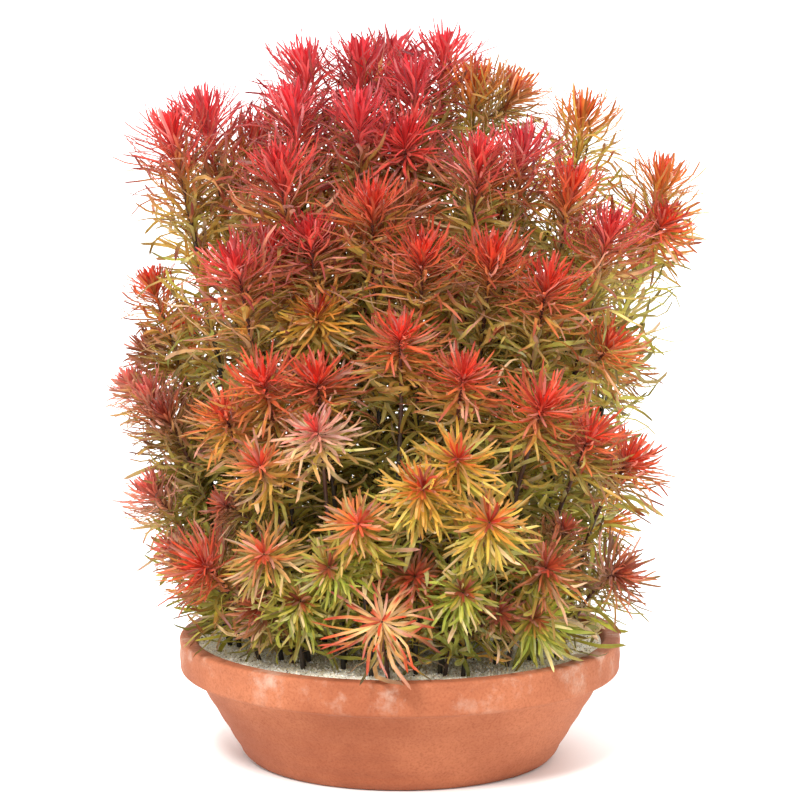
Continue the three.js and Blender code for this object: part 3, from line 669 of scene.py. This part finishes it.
def leaf_colours(mm, place, spread, tint, random):
    """Screen colours for each station of each leaf, by the leaf's age, height and place and by chance."""
    count = len(mm)
    t = LEAF_STATIONS[None, :]
    palette = np.array([rgb(colour) for colour in PALETTES[tint]])
    height = place[:, 2] - SAND_TOP
    low = 1 - smoothstep(height, *LOW_ZONE)
    right = smoothstep(place[:, 0], *RIGHT_ZONE)

    own_age = mm * np.exp(random.normal(0, OWN_AGE_CHANCE, count)) * (1 + STAR_AGEING * spread**2)
    # Right of the axis, leaves take older colours and keep less of the top's youth, which makes that side
    # paler and yellower as part of the painted backlight there
    youth = TOP_YOUTH * smoothstep(height, *TOP_ZONE) * (1 - RIGHT_YOUTH_LOSS * right)
    own_age *= 1 - youth + RIGHT_AGEING * right
    age = own_age[:, None] * (BASE_AGE - AGE_LOSS_ALONG_LEAF * t)
    colours = np.stack([np.interp(age, AGE_MM, palette[:, i]) for i in range(3)], axis=-1)

    # Old leaves stray to other old-leaf colours, one of them a near-white painted backlight
    others = np.array([rgb(colour) for colour in OLD_LEAF_AND_BACKLIGHT_COLOURS])[random.integers(0, len(OLD_LEAF_AND_BACKLIGHT_COLOURS), count)]
    other = OLD_LEAF_SHARE * smoothstep(own_age, *OLD_LEAF_AGE_MM) * random.uniform(0, 1, count)
    colours = towards(colours, others[:, None, :], other)

    muddy = CLEAR_TINT_SHARE if tint in CLEAR_TINTS else 1.0
    browner = BROWN_SHARE * muddy * low * random.uniform(*BROWN_CHANCE, count)
    colours = towards(colours, rgb(LOW_BROWN), browner)
    greener = muddy * (GREEN_SHARE + LOW_GREEN_SHARE * low) * smoothstep(own_age, *GREENING_AGE_MM)
    colours = towards(colours, rgb(LOW_GREEN), greener)

    warmer = smoothstep(height, *MIDDLE_ZONE_FOOT) * (1 - smoothstep(height, *MIDDLE_ZONE_TOP))
    warmer *= smoothstep(own_age, *WARMING_AGE_MM) * (WARM_SHARE - RIGHT_WARM_LOSS * right)
    colours = towards(colours, rgb(MIDDLE_BROWN), warmer * random.uniform(0, 1, count))

    # Old leaves right of the axis and high in the clump are painted pale yellow-green: a painted backlight
    # falling from the right
    backlight_mask = smoothstep(place[:, 0], *PAINTED_BACKLIGHT_ZONE) * smoothstep(own_age, *PAINTED_BACKLIGHT_AGE_MM)
    backlight_mask *= smoothstep(place[:, 2], *PAINTED_BACKLIGHT_HEIGHT)
    backlight_share = PAINTED_BACKLIGHT_SHARE * backlight_mask * random.uniform(*PAINTED_BACKLIGHT_CHANCE, count)
    colours = towards(colours, rgb(PAINTED_BACKLIGHT), backlight_share)

    ripe = smoothstep(mm, *COLOUR_RIPENING_MM)[:, None]
    flush = FLUSH_SHARE * spread * (1 - smoothstep(t, *FLUSH_REACH)) * ripe
    colours = towards(colours, palette[1], flush)

    old_tip = smoothstep(own_age, *TIP_FADING_AGE_MM)[:, None, None]
    tip = rgb(TIP_COLOURS[tint]) * (1 - old_tip) + OLD_TIP_DARKNESS * colours * old_tip
    tipped = (YOUNG_TIP_SHARE + RIPE_TIP_SHARE * ripe) * random.uniform(*TIP_CHANCE, count)[:, None]
    if tint == FULL_TIP_TINT:
        tipped = np.ones_like(tipped)
    colours = towards(colours, tip, tipped * smoothstep(t, *TIP_REACH.get(tint, USUAL_TIP_REACH)))

    # A few leaves at random are painted pale pink: a painted highlight
    paler = PAINTED_HIGHLIGHT_SHARE * smoothstep(random.uniform(0, 1, count), *PAINTED_HIGHLIGHT_RARITY)
    colours = towards(colours, rgb(PAINTED_HIGHLIGHT), paler)
    # Older leaves are made lighter as painted fill light in the shaded depth; each leaf also differs in tone
    # at random
    lighter = LIGHTNESS + OLD_LEAF_PAINTED_FILL * smoothstep(own_age, *PAINTED_FILL_AGE_MM)
    return colours * (lighter * random.uniform(*LIGHTNESS_CHANCE, count))[:, None, None]


def leaf_faces():
    """The faces of one leaf: quads on both sides of its midrib, and two triangles at its tip."""
    tip = 3 * (len(LEAF_STATIONS) - 1)
    last = tip - 3
    faces = []
    for left in range(0, last, 3):
        faces.append((left, left + 1, left + 4, left + 3))
        faces.append((left + 1, left + 2, left + 5, left + 4))
    return faces + [(last, last + 1, tip), (last + 1, last + 2, tip)]


def leaves(stem, longest, spread, tint, main, old_leaves, random):
    """Every leaf of one stem, as vertices, colours and how near each vertex is to the midrib."""
    below, angle = leaf_places(stem, spread, tint, main, old_leaves, random)
    mm = below / MM
    count = len(mm)
    place, along, across, sideways = stem.at(below)
    radial = across * np.cos(angle)[:, None] + sideways * np.sin(angle)[:, None]
    line = midribs(place, along, radial, mm, longest, spread, random)

    way = unit(np.gradient(line, axis=1))
    along = along[:, None, :]
    normal = unit(along - np.sum(along * way, axis=-1, keepdims=True) * way)
    width_way = np.cross(way, normal)
    twist_along = BASE_TWIST + (1 - BASE_TWIST) * LEAF_STATIONS
    twist_stray = stray(TWIST_STRAY, smoothstep(mm, *RIPENING_MM))[:, None]
    twist = random.normal(0, 1, count)[:, None] * twist_along * twist_stray
    blade = width_way * np.cos(twist)[..., None] + normal * np.sin(twist)[..., None]
    face = normal * np.cos(twist)[..., None] - width_way * np.sin(twist)[..., None]

    widening = smoothstep(mm * (1 + STAR_WIDENING * spread), *WIDENING_MM)
    wide = YOUNG_LEAF_WIDTH + (GROWN_LEAF_WIDTH - YOUNG_LEAF_WIDTH) * widening
    wide *= random.uniform(*WIDTH_CHANCE, count)
    half = 0.5 * wide[:, None, None] * LEAF_WIDTHS[:, None]
    left = line - blade * half + face * (half * LEAF_FOLD)
    right = line + blade * half + face * (half * LEAF_FOLD)

    rows = len(LEAF_STATIONS) - 1
    grid = np.stack([left[:, :rows], line[:, :rows], right[:, :rows]], axis=2).reshape(count, rows * 3, 3)
    verts = np.concatenate([grid, line[:, -1:, :]], axis=1)
    colours = leaf_colours(mm, place, spread, tint, random)
    shade = np.concatenate([np.repeat(colours[:, :rows], 3, axis=1), colours[:, -1:]], axis=1)
    rib = np.tile([0.0, 1.0, 0.0] * rows + [1.0], (count, 1))
    return verts, shade, rib


def set_shade(mesh, colours):
    """Gives each vertex of a mesh its own colour, from screen colours."""
    rgba = np.concatenate([linear(colours), np.ones((len(colours), 1))], axis=1)
    shade = mesh.color_attributes.new("shade", "FLOAT_COLOR", "POINT")
    shade.data.foreach_set("color", rgba.astype(np.float32).ravel())


def shoot_mesh(name, parts, old_leaves):
    """One mesh for a rooted shoot: material 0 is leaf and material 1 is stem."""
    verts, faces, shades, ribs, kinds = [], [], [], [], []
    offset = 0
    one_leaf = leaf_faces()
    for stem, crown, main, random in parts:
        longest, spread, tint = crown[3:]
        tube, tube_faces, tube_shade = stem_tube(stem, 1.0 if main else SIDE_THICKNESS)
        verts.append(tube)
        faces += [tuple(v + offset for v in f) for f in tube_faces]
        kinds += [1] * len(tube_faces)
        shades.append(tube_shade)
        ribs.append(np.zeros(len(tube)))
        offset += len(tube)
        leaf_verts, leaf_shade, leaf_rib = leaves(stem, longest, spread, tint, main, old_leaves, random)
        count, per_leaf = leaf_rib.shape
        for start in range(offset, offset + count * per_leaf, per_leaf):
            faces += [tuple(v + start for v in f) for f in one_leaf]
        kinds += [0] * (count * len(one_leaf))
        verts.append(leaf_verts.reshape(-1, 3))
        shades.append(leaf_shade.reshape(-1, 3))
        ribs.append(leaf_rib.ravel())
        offset += count * per_leaf
    mesh = bpy.data.meshes.new(name)
    mesh.from_pydata(np.concatenate(verts).tolist(), [], faces)
    mesh.polygons.foreach_set("material_index", kinds)
    set_shade(mesh, np.concatenate(shades))
    rib = mesh.attributes.new("rib", "FLOAT", "POINT")
    rib.data.foreach_set("value", np.concatenate(ribs).astype(np.float32))
    mesh.shade_smooth()
    mesh.update()
    return mesh


# Materials


class Nodes:
    """A short way to build a node tree: each call adds a node, sets its values and links its inputs."""

    # Where a Mix node has its sockets for colours
    MIX_FIRST = 6
    MIX_SECOND = 7
    MIX_RESULT = 2

    def __init__(self, name):
        self.material = bpy.data.materials.new(name)
        self.material.use_nodes = True
        self.tree = self.material.node_tree
        self.tree.nodes.clear()
        self.output = self.tree.nodes.new("ShaderNodeOutputMaterial")

    def add(self, kind, values=None, **settings):
        node = self.tree.nodes.new("ShaderNode" + kind)
        for key, value in settings.items():
            setattr(node, key, value)
        for key, value in (values or {}).items():
            if isinstance(value, bpy.types.NodeSocket):
                self.tree.links.new(value, node.inputs[key])
            else:
                node.inputs[key].default_value = value
        return node

    def position(self):
        return self.add("NewGeometry").outputs["Position"]

    def attribute(self, name, output):
        return self.add("Attribute", attribute_name=name).outputs[output]

    def noise(self, place, scale, detail, roughness=0.55):
        values = {"Vector": place, "Scale": scale, "Detail": detail, "Roughness": roughness}
        return self.add("TexNoise", values).outputs["Fac"]

    def between(self, value, low, high, to_low=0.0, to_high=1.0):
        values = {"Value": value, "From Min": low, "From Max": high, "To Min": to_low, "To Max": to_high}
        return self.add("MapRange", values, interpolation_type="SMOOTHSTEP").outputs["Result"]

    def mix(self, share, first, second, blend="MIX"):
        values = {"Factor": share, self.MIX_FIRST: first, self.MIX_SECOND: second}
        return self.add("Mix", values, data_type="RGBA", blend_type=blend).outputs[self.MIX_RESULT]

    def maths(self, operation, first, second):
        return self.add("Math", {0: first, 1: second}, operation=operation).outputs[0]

    def bump(self, height, strength, distance, invert=False):
        values = {"Strength": strength, "Distance": distance, "Height": height}
        return self.add("Bump", values, invert=invert).outputs["Normal"]

    def finish(self, shader):
        self.tree.links.new(shader.outputs[0], self.output.inputs["Surface"])
        return self.material


def paint(colour):
    """#RRGGBB as a shader colour."""
    return (*[float(c) for c in linear(rgb(colour))], 1.0)


def leaf_material():
    """Satin leaves with blotches, a paler midrib and light that shines through them."""
    n = Nodes("leaf")
    place = n.position()
    shade = n.attribute("shade", "Color")
    rib = n.attribute("rib", "Fac")
    blotch = n.noise(place, scale=220, detail=3)
    fine = n.noise(place, scale=900, detail=2)
    patchy = n.mix(n.between(blotch, 0.35, 0.7, to_high=0.3), shade, paint("#8A3A20"), "SOFT_LIGHT")
    streaky = n.mix(n.between(fine, 0.3, 0.8, to_high=0.25), patchy, paint("#F2D0A0"), "SOFT_LIGHT")
    veined = n.mix(n.between(rib, 0.72, 0.95, to_high=0.4), streaky, paint("#F0B088"), "SOFT_LIGHT")
    satin = n.add(
        "BsdfPrincipled",
        {
            "Base Color": veined,
            "Roughness": 0.42,
            "Normal": n.bump(n.maths("ADD", rib, fine), strength=0.25, distance=0.0004),
            "Specular IOR Level": 0.5,
            "Sheen Weight": 0.3,
            "Sheen Roughness": 0.4,
            "Sheen Tint": paint("#FFE0D0"),
        },
    )
    glow = n.add("BsdfTranslucent", {"Color": veined})
    return n.finish(n.add("MixShader", {0: GLOW_SHARE, 1: satin.outputs[0], 2: glow.outputs[0]}))


def stem_material():
    """Dull dark bark with olive blotches."""
    n = Nodes("stem")
    blotch = n.noise(n.position(), scale=160, detail=4)
    olive = n.between(blotch, 0.5, 0.75, to_high=0.5)
    worn = n.mix(olive, n.attribute("shade", "Color"), paint("#4A4424"))
    bump = n.bump(blotch, strength=0.3, distance=0.0005)
    return n.finish(n.add("BsdfPrincipled", {"Base Color": worn, "Roughness": 0.55, "Normal": bump}))


def clay_material():
    """Unglazed clay: cloudy and grainy, with patches of pale lime near the rim."""
    n = Nodes("clay")
    place = n.position()
    cloud = n.noise(place, scale=14, detail=5, roughness=0.6)
    grain = n.noise(place, scale=700, detail=4, roughness=0.65)
    height = n.add("SeparateXYZ", {"Vector": place}).outputs["Z"]
    body = n.mix(n.between(cloud, 0.35, 0.68), paint("#96502F"), paint("#B06844"))
    grainy = n.mix(n.between(grain, 0.42, 0.72, to_high=0.5), body, paint("#7E4026"))
    lime_high = n.between(height, RIM_TOP - LIME_DEPTH, RIM_TOP, to_high=0.55)
    lime_patch = n.between(n.noise(place, scale=32, detail=6, roughness=0.7), 0.5, 0.72)
    limed = n.mix(n.maths("MULTIPLY", lime_high, lime_patch), grainy, paint("#CDB8A6"))
    bump = n.bump(n.maths("ADD", grain, cloud), strength=0.35, distance=0.0006)
    rough = n.between(grain, 0.2, 0.8, to_low=0.78, to_high=0.95)
    return n.finish(n.add("BsdfPrincipled", {"Base Color": limed, "Roughness": rough, "Normal": bump}))


def sand_material():
    """Packed sand: pale cells with a few brown and black ones, a little darker where it is damp."""
    n = Nodes("sand")
    place = n.position()
    cells = n.add("TexVoronoi", {"Vector": place, "Scale": 1300})
    tone = n.add("SeparateColor", {"Color": cells.outputs["Color"]}).outputs[0]
    pale = n.mix(tone, paint("#FFF4DC"), paint("#FFFFF8"))
    brown = n.mix(n.between(tone, 0.93, 0.95), pale, paint("#96784E"))
    black = n.mix(n.between(tone, 0.035, 0.02), brown, paint("#2E2A26"))
    wet = n.between(n.noise(place, scale=30, detail=3), 0.4, 0.7, to_high=0.2)
    damp = n.mix(wet, black, paint("#EEE4CE"), "MULTIPLY")
    bump = n.bump(cells.outputs["Distance"], strength=0.35, distance=0.0003, invert=True)
    return n.finish(n.add("BsdfPrincipled", {"Base Color": damp, "Roughness": 0.85, "Normal": bump}))


def grain_material():
    """Loose grains of sand, each in its own colour."""
    n = Nodes("sand_grain")
    shade = n.attribute("shade", "Color")
    return n.finish(n.add("BsdfPrincipled", {"Base Color": shade, "Roughness": 0.6}))


def floor_material():
    """A plain pale floor."""
    n = Nodes("floor")
    tone = n.mix(n.noise(n.position(), scale=3, detail=2), paint("#F4F4F2"), paint("#FAFAF8"))
    values = {"Base Color": tone, "Roughness": 0.8, "Specular IOR Level": 0.1}
    return n.finish(n.add("BsdfPrincipled", values))


# Pot and sand


def piece(name, mesh, *materials):
    """A new object in the scene, with its mesh and materials."""
    obj = bpy.data.objects.new(name, mesh)
    bpy.context.scene.collection.objects.link(obj)
    for material in materials:
        mesh.materials.append(material)
    return obj


def lathe(name, profile, steps, shaped):
    """A round mesh from (radius, height) points, closed on the axis at both ends, and then shaped."""
    angles = np.linspace(0, FULL_TURN, steps, endpoint=False)
    radius = np.array([p[0] for p in profile[1:-1]])
    height = np.array([p[1] for p in profile[1:-1]])
    ring = np.stack([np.cos(angles), np.sin(angles)], axis=-1)
    rows = len(radius)
    verts = np.zeros((rows, steps, 3))
    verts[..., :2] = radius[:, None, None] * ring[None]
    verts[..., 2] = height[:, None]
    ends = [[0, 0, profile[0][1]], [0, 0, profile[-1][1]]]
    verts = np.concatenate([shaped(verts).reshape(-1, 3), ends])
    faces = []
    for i in range(rows - 1):
        for j in range(steps):
            k = (j + 1) % steps
            faces.append((i * steps + j, i * steps + k, (i + 1) * steps + k, (i + 1) * steps + j))
    for j in range(steps):
        k = (j + 1) % steps
        faces.append((rows * steps, k, j))
        faces.append((rows * steps + 1, (rows - 1) * steps + j, (rows - 1) * steps + k))
    mesh = bpy.data.meshes.new(name)
    mesh.from_pydata(verts.tolist(), [], faces)
    mesh.shade_smooth()
    return mesh


def rounded(points, radius):
    """A profile whose inner corners are replaced by small arcs."""
    out = [points[0]]
    for before, corner, after in zip(points, points[1:], points[2:]):
        corner = np.array(corner, float)
        to_before = np.array(before) - corner
        to_after = np.array(after) - corner
        reach = min(radius, ARC_REACH * np.linalg.norm(to_before), ARC_REACH * np.linalg.norm(to_after))
        start = corner + unit(to_before) * reach
        end = corner + unit(to_after) * reach
        for t in np.linspace(0, 1, ARC_STEPS):
            out.append(tuple((1 - t) ** 2 * start + 2 * t * (1 - t) * corner + t**2 * end))
    out.append(points[-1])
    return out


def finer(points, step):
    """A profile with extra points on its long straight stretches."""
    out = [points[0]]
    for before, after in zip(points, points[1:]):
        count = max(1, int(math.dist(before, after) / step))
        for i in range(1, count + 1):
            t = i / count
            out.append((before[0] + (after[0] - before[0]) * t, before[1] + (after[1] - before[1]) * t))
    return out


def thrown(verts):
    """The pot's vertices, with the slight rings and unevenness that fingers leave on its outside."""
    radius = np.hypot(verts[..., 0], verts[..., 1])
    angle = np.arctan2(verts[..., 1], verts[..., 0])
    height = verts[..., 2]
    rings = RING_DEPTH * np.sin(height / RING_HEIGHT + RING_TILT * np.sin(2 * angle))
    sway = POT_SWAY * np.sin(2 * angle + 0.7) + POT_UNEVENNESS * np.sin(5 * angle)
    outer = smoothstep(radius - FOOT_RADIUS, FOOT_CHAMFER, FOOT_CHAMFER + FOOT_FADE)
    outer *= smoothstep(height, FOOT_CHAMFER, FOOT_CHAMFER + FOOT_FADE_HEIGHT)
    outer *= smoothstep(RIM_TOP - height, 0, RIM_FADE_HEIGHT)
    scale = 1 + outer * (rings + sway - POT_SHRINKAGE) / np.maximum(radius, MM)
    verts[..., :2] *= scale[..., None]
    return verts


def make_pot():
    corners = [
        (0, 0),
        (FOOT_RADIUS, 0),
        (FOOT_RADIUS + FOOT_CHAMFER, FOOT_CHAMFER),
        (NECK_RADIUS, BAND_FOOT),
        (RIM_RADIUS, BAND_FOOT + BAND_CHAMFER),
        (RIM_RADIUS, RIM_TOP),
        (RIM_RADIUS - RIM_WIDTH, RIM_TOP),
        (NECK_RADIUS - POT_WALL, BAND_FOOT),
        (FOOT_RADIUS + FOOT_CHAMFER - POT_WALL, POT_FLOOR),
        (0, POT_FLOOR),
    ]
    profile = finer(rounded(corners, POT_EDGE_ROUNDING), POT_PROFILE_STEP)
    pot = piece("clay_pot", lathe("pot", profile, POT_ROUND_STEPS, thrown), clay_material())
    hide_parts("pot")
    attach(pot, ROOT)


def ripple(x, y):
    """How far the sand's uneven surface stands above its level, which it keeps to at the edge."""
    swell = 0.5 * np.sin(48 * x + 1.3) * np.cos(41 * y + 0.4)
    slant = 0.3 * np.sin(97 * x - 63 * y + 2.0)
    fine = 0.2 * np.cos(151 * y + 113 * x)
    return RIPPLE_HEIGHT * (swell + slant + fine) * smoothstep(SAND_RADIUS - np.hypot(x, y), *RIPPLE_EDGE)


def rippled(verts):
    """The sand bed's vertices, with those of its top on the uneven surface."""
    top = verts[..., 2] > SAND_TOP - SURFACE_DEPTH
    verts[..., 2] += np.where(top, ripple(verts[..., 0], verts[..., 1]), 0)
    return verts


def make_sand():
    profile = [
        (0, SAND_FOOT),
        (FOOT_RADIUS + FOOT_CHAMFER - POT_WALL - SAND_GAP, SAND_FOOT),
        (NECK_RADIUS - POT_WALL - SAND_GAP, BAND_FOOT),
        (SAND_RADIUS, SAND_TOP),
    ]
    profile += [(SAND_RADIUS * share, SAND_TOP) for share in SAND_RING_SHARES]
    profile += [(0, SAND_TOP)]
    sand = piece("sand_bed", lathe("sand_bed", profile, SAND_ROUND_STEPS, rippled), sand_material())
    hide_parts("sand")
    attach(sand, ROOT)


def make_grains():
    """Loose grains on the sand: small eight-sided lumps, mostly pale, with some brown and black ones."""
    random = np.random.default_rng(GRAIN_SEED)
    count = GRAIN_COUNT
    angle = random.uniform(0, FULL_TURN, count)
    radius = (SAND_RADIUS - GRAIN_EDGE_GAP) * np.sqrt(random.uniform(0, 1, count))
    x, y = radius * np.cos(angle), radius * np.sin(angle)
    size = random.uniform(*GRAIN_SIZE_MM, count) * MM
    centre = np.stack([x, y, SAND_TOP + ripple(x, y) + size * GRAIN_RISE], axis=-1)
    per_grain = len(GRAIN_CORNERS)
    stretch = random.uniform(*GRAIN_STRETCH, (count, per_grain, 1))
    turn = random.uniform(0, FULL_TURN, count)[:, None]
    across, along, up = GRAIN_CORNERS.T[:, None, :]
    turned_across = across * np.cos(turn) - along * np.sin(turn)
    turned_along = across * np.sin(turn) + along * np.cos(turn)
    turned = np.stack([turned_across, turned_along, np.repeat(up, count, axis=0)], axis=-1)
    verts = centre[:, None, :] + turned * stretch * size[:, None, None]
    faces = [tuple(v + per_grain * grain for v in f) for grain in range(count) for f in GRAIN_FACES]
    mesh = bpy.data.meshes.new("sand_grains")
    mesh.from_pydata(verts.reshape(-1, 3).tolist(), [], faces)
    kinds = np.array([rgb(colour) for colour in GRAIN_COLOURS])
    pick = random.choice(len(kinds), count, p=GRAIN_SHARES)
    tone = kinds[pick] * random.uniform(*GRAIN_LIGHTNESS, (count, 1))
    set_shade(mesh, np.repeat(tone, per_grain, axis=0))
    grains = piece("sand_grains", mesh, grain_material())
    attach(grains, ROOT)


def make_shoots():
    """Every rooted shoot with its side shoots, each crown with a chance of its own."""
    leaf = leaf_material()
    bark = stem_material()
    seed = SHOOT_SEED
    for zone, rows in CROWNS.items():
        for index, row in enumerate(rows):
            name = f"shoot_{zone}_{index + 1:02d}"
            main = None
            parts = []
            for crown in row:
                seed += 1
                random = np.random.default_rng(seed)
                tip = place_seen(*[c * MM for c in crown[:3]])
                stem = side_stem(main, tip, random) if main else main_stem(tip, random)
                parts.append((stem, crown, main is None, random))
                main = main or stem
            obj = piece("leafy_" + name, shoot_mesh(name, parts, OLD_LEAF_COUNTS[zone]), leaf, bark)
            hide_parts(name)
            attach(obj, ROOT)


# Studio


def make_studio():
    far = FLOOR_REACH
    floor = bpy.data.meshes.new("floor")
    floor.from_pydata([(-far, -far, 0), (far, -far, 0), (far, far, 0), (-far, far, 0)], [], [(0, 1, 2, 3)])
    piece("floor", floor, floor_material())
    for name, strength, size, (turn_x, turn_y) in LIGHTS:
        sun = bpy.data.lights.new(name, "SUN")
        sun.energy = strength
        sun.angle = size
        light = bpy.data.objects.new(name, sun)
        light.rotation_euler = (math.radians(turn_x), math.radians(turn_y), 0)
        bpy.context.scene.collection.objects.link(light)
    world = bpy.data.worlds.new("studio")
    world.use_nodes = True
    background = world.node_tree.nodes["Background"]
    background.inputs["Color"].default_value = (1, 1, 1, 1)
    background.inputs["Strength"].default_value = WORLD_STRENGTH
    bpy.context.scene.world = world
    bpy.context.scene.view_settings.view_transform = "Standard"
    bpy.context.scene.view_settings.look = "None"


def make_camera():
    lens = bpy.data.cameras.new("camera")
    lens.sensor_width = SENSOR_WIDTH_MM
    lens.lens = SENSOR_WIDTH_MM * VIEW_DISTANCE / PICTURE_WIDTH
    camera = bpy.data.objects.new("camera", lens)
    bpy.context.scene.collection.objects.link(camera)
    aim = Vector((0, 0, AIM_HEIGHT))
    camera.location = aim + VIEW_DISTANCE * Vector((0, -math.cos(VIEW_TILT), math.sin(VIEW_TILT)))
    camera.rotation_euler = (aim - camera.location).to_track_quat("-Z", "Y").to_euler()
    bpy.context.scene.camera = camera


make_camera()
make_studio()
make_pot()
make_sand()
make_grains()
make_shoots()
